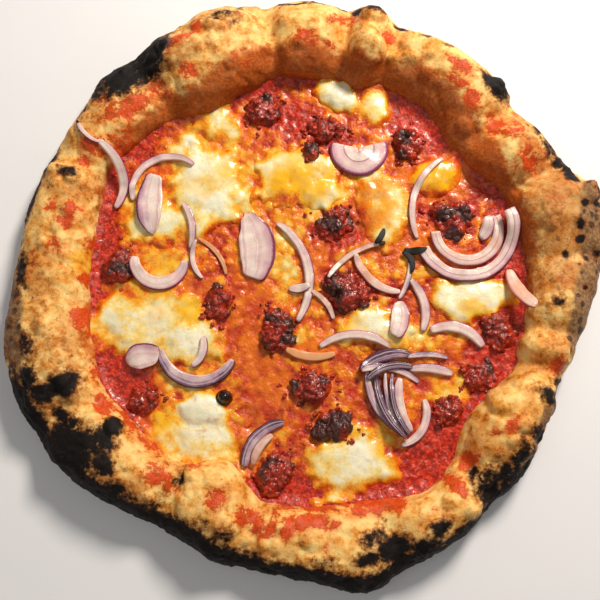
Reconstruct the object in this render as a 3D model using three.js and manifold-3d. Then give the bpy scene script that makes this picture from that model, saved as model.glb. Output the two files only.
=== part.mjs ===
// A whole wood-fired pizza with a puffed, blistered rim, tomato sauce, melted cheese,
// crumbled spicy sausage and sliced red onion. Millimetres and degrees; angles turn from +X to +Y.
// The origin is on the flat underside, below the middle of the outline, and +Z is up.

import * as THREE from 'three';
import { mergeVertices } from 'three/addons/utils/BufferGeometryUtils.js';
import Module from 'manifold-3d';

const wasm = await Module();
wasm.setup();

// ---- Driving dimensions ----

const gap = 0.3; // clearance left between pieces that touch

const rim = {
  outer: 153, // mean radius of the outline
  well: 116, // mean radius of the foot of the rim's inner wall
  crest: 0.52, // where the crest lies, from the well (0) to the outline (1)
  height: 21.5, // height of the crest between two puffs
  waist: 9, // height of the widest point of the outer side
  edge: 10, // radius of the rounding under the outer side
  steep: 1, // 1 is a full round inner wall, more is a longer and gentler slope
  belly: 0.8, // how far the inner wall leans over the topping
  segments: 108,
};

const floor = 5; // top of the dough under the sauce

const sauce = { top: 6.8, inset: 2.5, lip: 2, segments: 54 };

// Swells and dips of the rim: each adds "by" at the angle "at" and fades over "wide" degrees.
const outlineSwells = [
  { at: 12, by: 9.5, wide: 11 },
  { at: 17, by: 3.5, wide: 3 },
  { at: 38, by: -3.5, wide: 9 },
  { at: 76, by: 5.5, wide: 4.5 },
  { at: 88, by: 5, wide: 13 },
  { at: 111, by: 10, wide: 12 },
  { at: 117, by: -2.2, wide: 3.5 },
  { at: 131, by: 6, wide: 11 },
  { at: 136, by: 2, wide: 4 },
  { at: 158, by: 2.2, wide: 20 },
  { at: 190, by: 2, wide: 7 },
  { at: 202, by: 9.5, wide: 19 },
  { at: 215, by: 2, wide: 7 },
  { at: 241, by: -6, wide: 10 },
  { at: 263, by: -2.5, wide: 10 },
  { at: 281, by: 7.5, wide: 7.5 },
  { at: 310, by: -3.2, wide: 8 },
  { at: 336, by: -11, wide: 17 },
];
const wellSwells = [
  { at: 43, by: -8, wide: 9 },
  { at: 118, by: -5, wide: 10 },
  { at: 147, by: 6, wide: 14 },
  { at: 205, by: 3, wide: 8 },
  { at: 246, by: -10, wide: 9 },
  { at: 300, by: 8, wide: 9 },
  { at: 318, by: -5, wide: 9 },
];
const crestSwells = [
  { at: 5, by: -0.14, wide: 18 },
  { at: 55, by: 0.23, wide: 17 },
  { at: 170, by: -0.07, wide: 22 },
];
const steepSwells = [{ at: 55, by: 0.6, wide: 18 }];
const bellySwells = [
  { at: 35, by: 2.5, wide: 14 },
  { at: 92, by: 3.2, wide: 20 },
];

// Air puffs of the rim: a puff rises by "lift" and pushes the wall in by "reach" over "half" degrees each way.
const puffs = [
  { at: 113, half: 16, lift: 9, reach: 3 },
  { at: 90, half: 10, lift: 6, reach: 0 },
  { at: 76, half: 6, lift: 7, reach: 4 },
  { at: 56, half: 16, lift: 6, reach: 0 },
  { at: 33, half: 9, lift: 6, reach: 3 },
  { at: 15, half: 10, lift: 6, reach: 0 },
  { at: 355, half: 10, lift: 3.5, reach: 0 },
  { at: 343, half: 6, lift: 4, reach: 2 },
  { at: 325, half: 15, lift: 8, reach: 3 },
  { at: 299, half: 11, lift: 4, reach: 0 },
  { at: 272, half: 15, lift: 2.5, reach: 0 },
  { at: 248, half: 10, lift: 5, reach: 4 },
  { at: 224, half: 14, lift: 4, reach: 0 },
  { at: 197, half: 14, lift: 4, reach: 0 },
  { at: 170, half: 17, lift: 1.5, reach: 0 },
  { at: 140, half: 12, lift: 2.5, reach: 0 },
];

// Pinches between the puffs, "by" millimetres deep.
const pinches = [
  { at: 98.7, by: 4.5, wide: 3 },
  { at: 81, by: 4, wide: 3 },
  { at: 71, by: 3.5, wide: 3 },
  { at: 40, by: 4, wide: 3.5 },
  { at: 25, by: 4, wide: 3 },
  { at: 347, by: 3, wide: 3 },
  { at: 339, by: 4, wide: 3 },
  { at: 310, by: 4, wide: 3.5 },
  { at: 287, by: 2, wide: 4 },
  { at: 257, by: 3, wide: 3 },
  { at: 238, by: 3.5, wide: 3 },
  { at: 210, by: 3, wide: 3 },
  { at: 152, by: 3, wide: 3.5 },
  { at: 127.6, by: 3.5, wide: 3 },
];

// Blisters on the rim: half lengths along the rim and across it, and the half height.
const blisters = [
  { at: 205, out: 134, along: 9.5, across: 5.5, high: 5.5 },
  { at: 76, out: 149, along: 8, across: 5, high: 5 },
  { at: 17, out: 156, along: 6.5, across: 5.5, high: 5 },
  { at: 218, out: 124, along: 7, across: 5, high: 4 },
  { at: 252, out: 131, along: 8, across: 6, high: 4.5 },
  { at: 239, out: 116, along: 6, across: 4.5, high: 4 },
  { at: 156, out: 136, along: 6, across: 5, high: 4 },
  { at: 45, out: 147, along: 9, across: 5, high: 4 },
  { at: 311, out: 134, along: 9, across: 6, high: 4.5 },
  { at: 75.5, out: 130, along: 11, across: 10, high: 7 },
  { at: 327, out: 117, along: 9, across: 7, high: 5.5 },
  { at: 119, out: 140, along: 14, across: 9, high: 5 },
];

// Melted cheese. Each pool is one or more round lobes with half sizes a and b, turned by "turn".
const cheesePools = [
  [
    { x: -55.7, y: 53.6, a: 23, b: 28, thick: 3.4 },
    { x: -79.6, y: 34, a: 18.5, b: 13.5, thick: 2.6 },
    { x: -49.3, y: 88, a: 13.5, b: 11, thick: 2.4 },
  ],
  [
    { x: 14.7, y: 105, a: 15, b: 8.6, turn: -25, thick: 3.6 },
    { x: 37.3, y: 101, a: 9.5, b: 12, thick: 2.6 },
  ],
  [
    { x: -83.2, y: -22, a: 30, b: 20, thick: 2.8 },
    { x: -64, y: -30, a: 18, b: 15, thick: 3.2 },
  ],
  [
    { x: -57.3, y: -79, a: 26, b: 18, turn: -12, thick: 2.6 },
    { x: -55.9, y: -68.1, a: 14.3, b: 10.8, turn: 20, thick: 5 },
    { x: -43.4, y: -61.1, a: 4.4, b: 4.2, thick: 6.5 },
  ],
  [{ x: 21.5, y: -94, a: 26.5, b: 19, thick: 3.2 }],
  [{ x: 84.9, y: -8.7, a: 24, b: 12.5, turn: 8, thick: 3.2 }],
  [{ x: 33.8, y: -23.2, a: 21.5, b: 11, turn: -10, thick: 2.8 }],
  [
    { x: -4.2, y: 60, a: 24, b: 17, thick: 3.4 },
    { x: 6, y: 50, a: 13, b: 9, thick: 3.8 },
  ],
  [
    { x: 41.8, y: 42.4, a: 17, b: 23, thick: 3 },
    { x: 68, y: 58, a: 17, b: 11, turn: 10, thick: 3 },
  ],
];
const cheese = { rise: 0.6, segments: 16 };

// Crumbled sausage: half sizes a and b, half height "high".
const sausageClumps = [
  { x: -25, y: 96.8, a: 10.6, b: 12.4, high: 5.5 },
  { x: 10.1, y: 85.5, a: 13.2, b: 7.6, high: 4.4 },
  { x: 1.8, y: 71.5, a: 5.3, b: 6, high: 4.4 },
  { x: 54.7, y: 77.2, a: 9, b: 10.8, high: 5.2 },
  { x: 13, y: 32.2, a: 12.2, b: 10.3, high: 5.8 },
  { x: 77.4, y: 35.5, a: 13, b: 11.5, high: 5.5 },
  { x: 20.7, y: -4.3, a: 12.7, b: 13.2, high: 6.2 },
  { x: -47.3, y: -11.3, a: 8.5, b: 13, high: 5.2 },
  { x: -16.2, y: -25.1, a: 10.6, b: 15, high: 5.8 },
  { x: -101.5, y: 8.6, a: 8.5, b: 14, high: 5 },
  { x: -85.7, y: -62.6, a: 9, b: 9.7, high: 5 },
  { x: 2, y: -56.5, a: 14.5, b: 9.6, high: 5.8 },
  { x: 13.5, y: -76, a: 13.2, b: 9, high: 5.4 },
  { x: -16.9, y: -99, a: 11.4, b: 14, high: 5.8 },
  { x: 101, y: -26.2, a: 11.2, b: 11.5, high: 5.2 },
  { x: 90.5, y: -51, a: 12, b: 10, high: 5 },
  { x: 73.5, y: -68, a: 11.2, b: 7.8, high: 4.4 },
];
const clump = { sunk: 0.42, ragged: 0.16, crumbs: 0.13 };

// Red onion slices: each bends round (x, y) at a mean radius, between two angles.
const onionSlices = [
  { x: -122, y: 53.9, radius: 22.6, from: -36, to: 62, width: 5.4, thick: 2.2 },
  { x: -75.2, y: 49.5, radius: 19.9, from: 48, to: 193, width: 4.1, thick: 2.2 },
  { x: -24, y: 42.2, radius: 61.3, from: 164, to: 196, width: 14, thick: 2.4 },
  { x: -88, y: 26.6, radius: 26.5, from: -18, to: 38, width: 4, thick: 2 },
  { x: -45.7, y: 14.3, radius: 16, from: 150, to: 230, width: 2.7, thick: 1.8 },
  { x: -78.7, y: 12.1, radius: 13.3, from: 175, to: 355, width: 7.5, thick: 2.4 },
  { x: -65.5, y: 15.2, radius: 38.8, from: -20, to: 36, width: 20, thick: 2.4 },
  { x: -37.1, y: 0.2, radius: 38.1, from: -34, to: 57, width: 5.3, thick: 2.4 },
  { x: 28, y: 74.2, radius: 8.2, from: 168, to: 374, width: 15.3, thick: 2.6, ring: true },
  { x: 91.1, y: 37.6, radius: 35.1, from: 120, to: 203, width: 3.8, thick: 2.2 },
  { x: 84.6, y: 27.8, radius: 24.9, from: 203, to: 385, width: 6.7, thick: 2.8, ring: true },
  { x: 85.4, y: 28.6, radius: 17.2, from: 185, to: 385, width: 6.2, thick: 2.4, ring: true },
  { x: 85, y: 32.5, radius: 11.8, from: -48, to: 15, width: 7, thick: 2.2 },
  { x: 44.1, y: -17, radius: 38.2, from: 94, to: 151, width: 3.1, thick: 2 },
  { x: 20.2, y: 10.5, radius: 34.4, from: -35, to: 3, width: 2.8, thick: 2 },
  { x: 49.7, y: 19, radius: 24.5, from: 190, to: 268, width: 4.8, thick: 2.2 },
  { x: 38.1, y: -16.9, radius: 24.2, from: -23, to: 47, width: 5, thick: 2 },
  { x: 23, y: -16.5, radius: 25.8, from: -30, to: 14, width: 10.5, thick: 2.2 },
  { x: 73.9, y: -44.1, radius: 20.2, from: 28, to: 118, width: 6.3, thick: 2.2 },
  { x: 24.3, y: -57.8, radius: 29.4, from: 52, to: 128, width: 4.7, thick: 2 },
  { x: 65.9, y: -48.7, radius: 35.2, from: 178, to: 242, width: 4.1, thick: 3 },
  { x: 84.2, y: -53.3, radius: 44.2, from: 174, to: 220, width: 2.6, thick: 3.4 },
  { x: 76.3, y: -59.9, radius: 29.7, from: 163, to: 219, width: 5.7, thick: 3.2 },
  { x: 44.2, y: -68.7, radius: 17.3, from: -77, to: 22, width: 4.6, thick: 2.4 },
  { x: 46.9, y: -63.8, radius: 25.5, from: 75, to: 139, width: 6.1, thick: 2.8 },
  { x: 59.7, y: -87.5, radius: 41.6, from: 68, to: 99, width: 5.1, thick: 2.4 },
  { x: -57.4, y: -33, radius: 20.1, from: 190, to: 335, width: 6.8, thick: 2.6 },
  { x: -81.7, y: -62.6, radius: 23.3, from: 80, to: 124, width: 13.4, thick: 2.4 },
  { x: -66.9, y: -33.9, radius: 12.6, from: -60, to: 20, width: 4.7, thick: 2.2 },
  { x: -9.2, y: -97, radius: 23.4, from: 98, to: 178, width: 6.1, thick: 2.6 },
  { x: 133.4, y: 5.7, radius: 25.9, from: 178, to: 232, width: 7.4, thick: 2.2 },
  { x: 3.8, y: -9.9, radius: 30.2, from: 240, to: 290, width: 4.8, thick: 2 },
];
const onion = { stepLength: 5.5, fewestSteps: 6, lift: 0.35, maxSlope: 0.55, bevel: 0.8, tip: 0.3 };

const materials = {
  crust: new THREE.MeshStandardMaterial({ color: 0xc88a4a, roughness: 0.8, metalness: 0 }),
  sauce: new THREE.MeshStandardMaterial({ color: 0xb8260f, roughness: 0.4, metalness: 0 }),
  cheese: new THREE.MeshStandardMaterial({ color: 0xf0e0a8, roughness: 0.4, metalness: 0 }),
  nduja: new THREE.MeshStandardMaterial({ color: 0x6e1710, roughness: 0.5, metalness: 0 }),
  onion: new THREE.MeshStandardMaterial({ color: 0xdfb9c6, roughness: 0.35, metalness: 0 }),
};

// ---- Shared geometry helpers ----

const radians = THREE.MathUtils.degToRad;
const { lerp, clamp } = THREE.MathUtils;

// The turn from one angle to another, between -180 and 180 degrees.
function turnBetween(from, to) {
  return THREE.MathUtils.euclideanModulo(to - from + 180, 360) - 180;
}

// The sum of the swells in a list at an angle.
function swell(list, angle) {
  return list.reduce((sum, s) => sum + s.by * Math.exp(-((turnBetween(s.at, angle) / s.wide) ** 2)), 0);
}

// A closed geometry with its shared vertices merged, as a solid.
function solid(geometry) {
  geometry.deleteAttribute('normal');
  geometry.deleteAttribute('uv');
  const merged = mergeVertices(geometry, 1e-4);
  return new wasm.Manifold(
    new wasm.Mesh({
      numProp: 3,
      vertProperties: Float32Array.from(merged.attributes.position.array),
      triVerts: Uint32Array.from(merged.index.array),
    }),
  );
}

// The geometry of a solid, with one normal for each face.
function geometryOf(body) {
  const mesh = body.getMesh();
  const geometry = new THREE.BufferGeometry();
  geometry.setAttribute('position', new THREE.BufferAttribute(mesh.vertProperties, mesh.numProp));
  geometry.setIndex(new THREE.BufferAttribute(mesh.triVerts, 1));
  geometry.computeVertexNormals();
  return geometry;
}

// A lathe whose section changes with the angle: section(angle) gives its [radius, height] points,
// from the middle of the underside round to the middle of the top.
function shapedLathe(section, segments) {
  const points = section(0).map(([radius, height]) => new THREE.Vector2(radius, height));
  const lathe = new THREE.LatheGeometry(points, segments);
  const place = lathe.attributes.position;
  for (let segment = 0; segment <= segments; segment++) {
    const angle = segment === segments ? 0 : (segment / segments) * 360;
    section(angle).forEach(([radius, height], k) => {
      const [x, y] = [radius * Math.cos(radians(angle)), radius * Math.sin(radians(angle))];
      place.setXYZ(segment * points.length + k, x, y, height);
    });
  }
  return lathe;
}

// A smooth uneven value between -1 and 1 that depends on a place.
function uneven(x, y, z, scale) {
  const wave = (a, b, c, d) => Math.sin((a * x + b * y + c * z) / scale + d);
  return (wave(1, 0.4, -0.3, 0) + wave(-0.5, 1.1, 0.6, 2) + wave(0.7, -0.8, 1.2, 4)) / 3;
}

// A fixed scatter value between -1 and 1 for a place.
function scatter(x, y, z) {
  return 2 * THREE.MathUtils.euclideanModulo(Math.sin(12.9898 * x + 78.233 * y + 37.719 * z) * 43758.5453, 1) - 1;
}

// ---- The pieces laid so far ----

const laid = [];

function boxesMeet(one, other) {
  return [0, 1, 2].every((axis) => one.min[axis] <= other.max[axis] && other.min[axis] <= one.max[axis]);
}

function largest(body) {
  return body.decompose().reduce((best, piece) => (piece.volume() > best.volume() ? piece : best));
}

// Lays a piece on those below it: it is cut by each of them with the gap added, and keeps its largest part.
function lay(name, material, body, fatBody) {
  let kept = body;
  for (const below of laid) {
    if (boxesMeet(below.fatBody.boundingBox(), kept.boundingBox())) kept = kept.subtract(below.fatBody);
  }
  kept = largest(kept);
  laid.push({ name, material, body: kept, fatBody, box: kept.boundingBox(), mesh: kept.getMesh() });
}

// The highest point of a piece straight above (x, y), or -Infinity where it isn't there.
function topOf({ mesh, box }, x, y) {
  let top = -Infinity;
  if (x < box.min[0] || x > box.max[0] || y < box.min[1] || y > box.max[1]) return top;
  const { vertProperties: v, triVerts, numProp } = mesh;
  for (let t = 0; t < triVerts.length; t += 3) {
    const [a, b, c] = [triVerts[t] * numProp, triVerts[t + 1] * numProp, triVerts[t + 2] * numProp];
    const area = (v[b] - v[a]) * (v[c + 1] - v[a + 1]) - (v[c] - v[a]) * (v[b + 1] - v[a + 1]);
    if (area < 1e-9) continue; // the face looks down or stands upright
    const u = ((v[b] - x) * (v[c + 1] - y) - (v[c] - x) * (v[b + 1] - y)) / area;
    const w = ((v[c] - x) * (v[a + 1] - y) - (v[a] - x) * (v[c + 1] - y)) / area;
    if (u < 0 || w < 0 || u + w > 1) continue;
    top = Math.max(top, u * v[a + 2] + w * v[b + 2] + (1 - u - w) * v[c + 2]);
  }
  return top;
}

function groundAt(x, y) {
  return Math.max(...laid.map((piece) => topOf(piece, x, y)));
}

// ---- Crust: the dough base and its puffed rim ----

// The rim's measures at an angle.
function rimAt(angle) {
  const pinch = swell(pinches, angle);
  let [lift, reach] = [0, 0];
  for (const puff of puffs) {
    const share = turnBetween(puff.at, angle) / puff.half;
    if (Math.abs(share) >= 1) continue;
    const round = Math.cos((share * Math.PI) / 2);
    lift = Math.max(lift, puff.lift * round);
    reach = Math.max(reach, puff.reach * round);
  }
  const outer = rim.outer + swell(outlineSwells, angle) - 0.4 * pinch;
  const well = rim.well + swell(wellSwells, angle) - reach + 0.4 * pinch;
  return {
    outer,
    well,
    crest: lerp(well, outer, rim.crest + swell(crestSwells, angle)),
    height: rim.height + lift - pinch,
    steep: rim.steep + swell(steepSwells, angle),
    belly: rim.belly + swell(bellySwells, angle),
  };
}

// The dough's section at an angle, grown outwards by "grow".
function crustSection(angle, grow) {
  const { outer, well, crest, height, steep, belly } = rimAt(angle);
  const ring = (radius, z, size) => {
    const [x, y] = [radius * Math.cos(radians(angle)), radius * Math.sin(radians(angle))];
    return [radius, z + size * uneven(x, y, 2 * z, 7)];
  };
  const points = [[0, 0], [outer * 0.6, 0], [outer - rim.edge, 0]];
  for (const turn of [-60, -30, 0]) {
    const out = rim.edge * Math.cos(radians(turn));
    points.push([outer - rim.edge + out + grow, rim.waist * (1 + Math.sin(radians(turn)))]);
  }
  for (const turn of [18, 36, 54, 72, 90]) {
    const [out, up] = [Math.cos(radians(turn)), Math.sin(radians(turn))];
    points.push(ring(lerp(crest, outer, out) + grow * out, lerp(rim.waist, height, up) + grow * up, 0.9 * up));
  }
  for (const turn of [75, 60, 45, 30, 15]) {
    const [out, up] = [Math.cos(radians(turn)), Math.sin(radians(turn)) ** steep];
    const lean = (belly + grow) * Math.sin(radians(2 * turn)) + grow * out;
    points.push(ring(lerp(crest, well, out) - lean, lerp(floor, height, up) + grow, 0.7 * up));
  }
  points.push([well - grow, floor + grow], [0, floor + grow]);
  return points;
}

// A blister sits half sunk in the rim, its long side along the rim.
function blister({ at, out, along, across, high }, dough, grow) {
  const [x, y] = [out * Math.cos(radians(at)), out * Math.sin(radians(at))];
  const bubble = new THREE.IcosahedronGeometry(1, 1);
  bubble.scale(across + grow, along + grow, high + grow);
  bubble.rotateZ(radians(at));
  bubble.translate(x, y, topOf(dough, x, y) - 0.35 * high);
  return solid(bubble);
}

function makeCrust() {
  const plain = solid(shapedLathe((angle) => crustSection(angle, 0), rim.segments));
  const fatPlain = solid(shapedLathe((angle) => crustSection(angle, gap), rim.segments));
  const dough = { mesh: plain.getMesh(), box: plain.boundingBox() };
  const join = (body, grow) => blisters.reduce((sum, one) => sum.add(blister(one, dough, grow)), body);
  lay('crust', materials.crust, join(plain, 0), join(fatPlain, gap));
}

// ---- Sauce: a thin layer over the whole bed ----

function sauceSection(angle, grow) {
  const ripple = 1.2 * Math.sin(radians(5 * angle)) + 0.8 * Math.sin(radians(11 * angle + 60));
  const edge = rimAt(angle).well - sauce.inset + Math.min(ripple, 0.5) + grow;
  const [low, high] = [floor + gap - grow, sauce.top + grow];
  return [[0, low], [edge, low], [edge, low + 0.5 + 2 * grow], [edge - sauce.lip, high], [0, high]];
}

function makeSauce() {
  const layer = (grow) => solid(shapedLathe((angle) => sauceSection(angle, grow), sauce.segments));
  lay('sauce', materials.sauce, layer(0), layer(gap));
}

// ---- Cheese: flat domes that ran together while they melted ----

function cheeseLobe({ x, y, a, b, turn = 0, thick }, grow) {
  const low = sauce.top + gap;
  const section = (angle) => {
    const wobble = 1 + 0.06 * Math.sin(radians(2 * angle + 3 * x)) + 0.05 * Math.sin(radians(3 * angle + 5 * y));
    const round = (a * b) / Math.hypot(b * Math.cos(radians(angle)), a * Math.sin(radians(angle)));
    const edge = round * wobble + grow;
    return [
      [0, low - grow],
      [edge - 0.4, low - grow],
      [edge, low + cheese.rise],
      [edge * 0.68, low + 0.82 * thick + grow],
      [0, low + thick + grow],
    ];
  };
  const lobe = shapedLathe(section, cheese.segments);
  lobe.rotateZ(radians(turn));
  lobe.translate(x, y, 0);
  return solid(lobe);
}

function makeCheese() {
  cheesePools.forEach((lobes, k) => {
    const pool = (grow) => lobes.map((lobe) => cheeseLobe(lobe, grow)).reduce((sum, lobe) => sum.add(lobe));
    lay(`cheese_${String(k + 1).padStart(2, '0')}`, materials.cheese, pool(0), pool(gap));
  });
}

// ---- Sausage: ragged lumps pressed into what they lie on ----

function sausageClump({ x, y, a, b, high }, ground, grow) {
  const lump = new THREE.IcosahedronGeometry(1, 2);
  const place = lump.attributes.position;
  for (let k = 0; k < place.count; k++) {
    const [u, v, w] = [place.getX(k), place.getY(k), place.getZ(k)].map((c) => Math.round(c * 1e4) / 1e4);
    const ragged = clump.ragged * uneven(u + x, v + y, w, 0.45) + clump.crumbs * scatter(u, v + x, w);
    place.setXYZ(k, u * (1 + ragged) * (a + grow), v * (1 + ragged) * (b + grow), w * (1 + ragged) * (high + grow));
  }
  lump.translate(x, y, ground + clump.sunk * high);
  return solid(lump);
}

function makeSausage() {
  sausageClumps.forEach((one, k) => {
    const ground = groundAt(one.x, one.y);
    const name = `nduja_${String(k + 1).padStart(2, '0')}`;
    lay(name, materials.nduja, sausageClump(one, ground, 0), sausageClump(one, ground, gap));
  });
}

// ---- Onion: curved slices draped over everything below ----

// The height of a slice's underside at each step along it: above the ground, and never steeper than a slice bends.
function drape({ x, y, radius, from, to, width }) {
  const length = radius * radians(to - from);
  const steps = Math.max(onion.fewestSteps, Math.round(length / onion.stepLength));
  const heights = [];
  for (let step = 0; step <= steps; step++) {
    const angle = radians(lerp(from, to, step / steps));
    const sides = [-0.45, -0.2, 0, 0.2, 0.45].map((side) => radius + side * width);
    const under = sides.map((r) => groundAt(x + r * Math.cos(angle), y + r * Math.sin(angle)));
    heights.push(Math.max(...under) + onion.lift);
  }
  const fall = (onion.maxSlope * length) / steps;
  for (let step = 1; step <= steps; step++) {
    heights[step] = Math.max(heights[step], heights[step - 1] - fall);
  }
  for (let step = steps - 1; step >= 0; step--) {
    heights[step] = Math.max(heights[step], heights[step + 1] - fall);
  }
  return heights;
}

function onionSlice({ x, y, radius, from, to, width, thick, ring = false }, heights, grow) {
  const steps = heights.length - 1;
  const slice = new THREE.BoxGeometry(1, 1, 1, steps, 1, 1);
  const place = slice.attributes.position;
  for (let k = 0; k < place.count; k++) {
    const along = place.getX(k) + 0.5;
    const [side, up] = [place.getY(k), place.getZ(k) + 0.5];
    const taper = ring ? 1 : lerp(onion.tip, 1, Math.sqrt(Math.sin(Math.PI * clamp(along, 0, 1))));
    const wide = (width * taper + 2 * grow) * lerp(1, onion.bevel, up);
    const angle = radians(lerp(from, to, along));
    const r = radius - side * wide;
    const z = heights[Math.round(along * steps)] - grow + up * (thick * lerp(0.7, 1, taper) + 2 * grow);
    place.setXYZ(k, x + r * Math.cos(angle), y + r * Math.sin(angle), z);
  }
  return solid(slice);
}

function makeOnions() {
  onionSlices.forEach((one, k) => {
    const heights = drape(one);
    const name = `onion_${String(k + 1).padStart(2, '0')}`;
    lay(name, materials.onion, onionSlice(one, heights, 0), onionSlice(one, heights, gap));
  });
}

// ---- The pizza ----

makeCrust();
makeSauce();
makeCheese();
makeSausage();
makeOnions();

const pizza = new THREE.Group();
for (const { name, material, body } of laid) {
  const piece = new THREE.Mesh(geometryOf(body), material);
  piece.name = name;
  pizza.add(piece);
}

export default pizza;
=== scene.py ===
import math
import random
from collections import namedtuple

import bmesh
import bpy
from mathutils import Matrix, Vector, kdtree, noise
from mathutils.bvhtree import BVHTree


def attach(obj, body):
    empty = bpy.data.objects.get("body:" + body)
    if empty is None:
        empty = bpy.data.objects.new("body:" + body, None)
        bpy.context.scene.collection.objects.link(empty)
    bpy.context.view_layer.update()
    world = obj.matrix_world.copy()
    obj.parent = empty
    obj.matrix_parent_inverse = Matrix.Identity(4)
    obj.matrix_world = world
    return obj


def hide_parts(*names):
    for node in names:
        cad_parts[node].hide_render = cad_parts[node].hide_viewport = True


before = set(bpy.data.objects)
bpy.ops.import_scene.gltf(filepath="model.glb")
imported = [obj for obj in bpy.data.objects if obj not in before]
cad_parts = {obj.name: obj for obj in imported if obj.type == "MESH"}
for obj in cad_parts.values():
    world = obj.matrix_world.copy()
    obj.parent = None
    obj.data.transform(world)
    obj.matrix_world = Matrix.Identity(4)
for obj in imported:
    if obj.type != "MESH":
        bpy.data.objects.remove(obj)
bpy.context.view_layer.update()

# A wood-fired pizza: puffed rim, tomato sauce, melted cheese, crumbled sausage and red onion.
# Shapes are worked out in millimetres, and each finished piece is scaled to metres.
# Angles are in degrees from +X to +Y. The names of the rows below say what each number is.

Swell = namedtuple("Swell", "at by wide")
Puff = namedtuple("Puff", "at half lift reach")
Blister = namedtuple("Blister", "at out along across high")
RimMark = namedtuple("RimMark", "at out along across amount")
Spot = namedtuple("Spot", "x y a b amount")
Lobe = namedtuple("Lobe", "x y a b turn thick")
Clump = namedtuple("Clump", "x y a b high burnt")
Slice = namedtuple(
    "Slice",
    "x y radius start end width thick skin burnt ring stain point",
    defaults=("", False, 0, 0.36),
)


def table(kind, rows):  # gives the numbers of each row their names
    return [kind(*row) for row in rows]


def lerp(first, last, share):
    return first + (last - first) * share


def clamp(value, low=0.0, high=1.0):
    return min(max(value, low), high)


def smooth(share):  # 0 to 1 with soft ends
    share = clamp(share)
    return share * share * (3 - 2 * share)


def turnBetween(start, end):  # between -180 and 180 degrees
    return (end - start + 180) % 360 - 180


def around(angle, radius, z=0.0):
    return Vector((radius * math.cos(math.radians(angle)), radius * math.sin(math.radians(angle)), z))


def grain(place, size, seed=0):  # soft noise, about -1 to 1, with lumps of this size
    return noise.noise(Vector(place) / size + Vector((seed * 17.3, seed * 5.1, seed * 3.7)))


def curd(place, size, seed=0):  # soft round lumps of this size, 0 between them and 1 on top
    spot = Vector(place) / size + Vector((seed * 3.1, seed * 7.7, 0))
    return clamp(1.15 - 1.3 * noise.voronoi(spot)[0][0])


# shaders: sums on values are written as plain Python


def paint(text):  # "#rrggbb" as the shader's own linear colour
    parts = [int(text[k : k + 2], 16) / 255 for k in (1, 3, 5)]
    return tuple(p / 12.92 if p <= 0.04045 else ((p + 0.055) / 1.055) ** 2.4 for p in parts) + (1,)


class Wire:
    # an output socket that can be written into sums
    def __init__(self, recipe, socket):
        self.recipe = recipe
        self.socket = socket

    def sum(self, operation, first, second):
        return self.recipe.node("ShaderNodeMath", {"operation": operation}, {0: first, 1: second})

    def __add__(self, other):
        return self.sum("ADD", self, other)

    def __sub__(self, other):
        return self.sum("SUBTRACT", self, other)

    def __mul__(self, other):
        return self.sum("MULTIPLY", self, other)

    def __rsub__(self, other):
        return self.sum("SUBTRACT", other, self)

    __radd__ = __add__
    __rmul__ = __mul__

    def between(self, low, high):  # 0 below low, 1 above high, smooth between
        return self.recipe.node(
            "ShaderNodeMapRange",
            {"interpolation_type": "SMOOTHSTEP"},
            {"Value": self, "From Min": low, "From Max": high},
        )


class Recipe:
    def __init__(self, name):
        self.material = bpy.data.materials.new(name)
        self.material.use_nodes = True
        self.tree = self.material.node_tree
        self.shader = self.tree.nodes["Principled BSDF"]
        self.place = self.node("ShaderNodeTexCoord", output="Object")

    def node(self, kind, settings=None, inputs=None, output=0):
        node = self.tree.nodes.new(kind)
        for key, value in (settings or {}).items():
            setattr(node, key, value)
        for key, value in (inputs or {}).items():
            self.feed(node.inputs[key], value)
        return Wire(self, node.outputs[output])

    def feed(self, socket, value):
        if isinstance(value, Wire):
            self.tree.links.new(value.socket, socket)
        else:
            socket.default_value = value

    def noise(self, size, detail=3, rough=0.5):  # size in millimetres
        values = {"Vector": self.place, "Scale": 1000 / size, "Detail": detail, "Roughness": rough}
        return self.node("ShaderNodeTexNoise", None, values)

    def cells(self, size):  # how far the middle of the nearest cell is
        values = {"Vector": self.place, "Scale": 1000 / size}
        return self.node("ShaderNodeTexVoronoi", None, values, "Distance")

    def mark(self, name):  # a value kept on the mesh's points
        return self.node("ShaderNodeAttribute", {"attribute_name": name}, None, "Fac")

    def blend(self, factor, first, second):  # two colours, each "#rrggbb" or a wire
        first, second = [paint(c) if isinstance(c, str) else c for c in (first, second)]
        return self.node("ShaderNodeMix", {"data_type": "RGBA"}, {0: factor, 6: first, 7: second}, 2)

    def bump(self, height, depth, strength):  # depth in millimetres
        values = {"Height": height, "Distance": depth / 1000, "Strength": strength}
        return self.node("ShaderNodeBump", None, values)

    def finish(self, **values):
        for key, value in values.items():
            self.feed(self.shader.inputs[key.replace("_", " ")], value)
        return self.material


# laying and finishing a piece

wetGlow = 0.002  # metres that light goes into wet food
laid = []  # a search tree and a box for every piece laid so far


def lay(bm):
    spots = [v.co for v in bm.verts]
    low = [min(s[k] for s in spots) for k in (0, 1)]
    high = [max(s[k] for s in spots) for k in (0, 1)]
    laid.append((BVHTree.FromBMesh(bm), low, high))


def groundAt(x, y, lowest=5.0, above=90):  # the top of what is laid there
    top = lowest
    for tree, low, high in laid:
        if low[0] <= x <= high[0] and low[1] <= y <= high[1]:
            hit = tree.ray_cast(Vector((x, y, above)), Vector((0, 0, -1)))[0]
            if hit:
                top = max(top, hit.z)
    return top


def floatLayers(bm, *names):  # values on points, which the materials read
    return {name: bm.verts.layers.float.new(name) for name in names}


def gridPlace(vert, columns, rows):  # the column and row of a point in a new grid of size 1
    return round((vert.co.x + 1) / 2 * columns), round((vert.co.y + 1) / 2 * rows)


def closeNet(bm, gap):  # welds the seam and the poles, then caps what is left open
    bmesh.ops.remove_doubles(bm, verts=bm.verts, dist=gap)
    rim = [edge for edge in bm.edges if edge.is_boundary]
    bmesh.ops.holes_fill(bm, edges=rim, sides=0)


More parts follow.
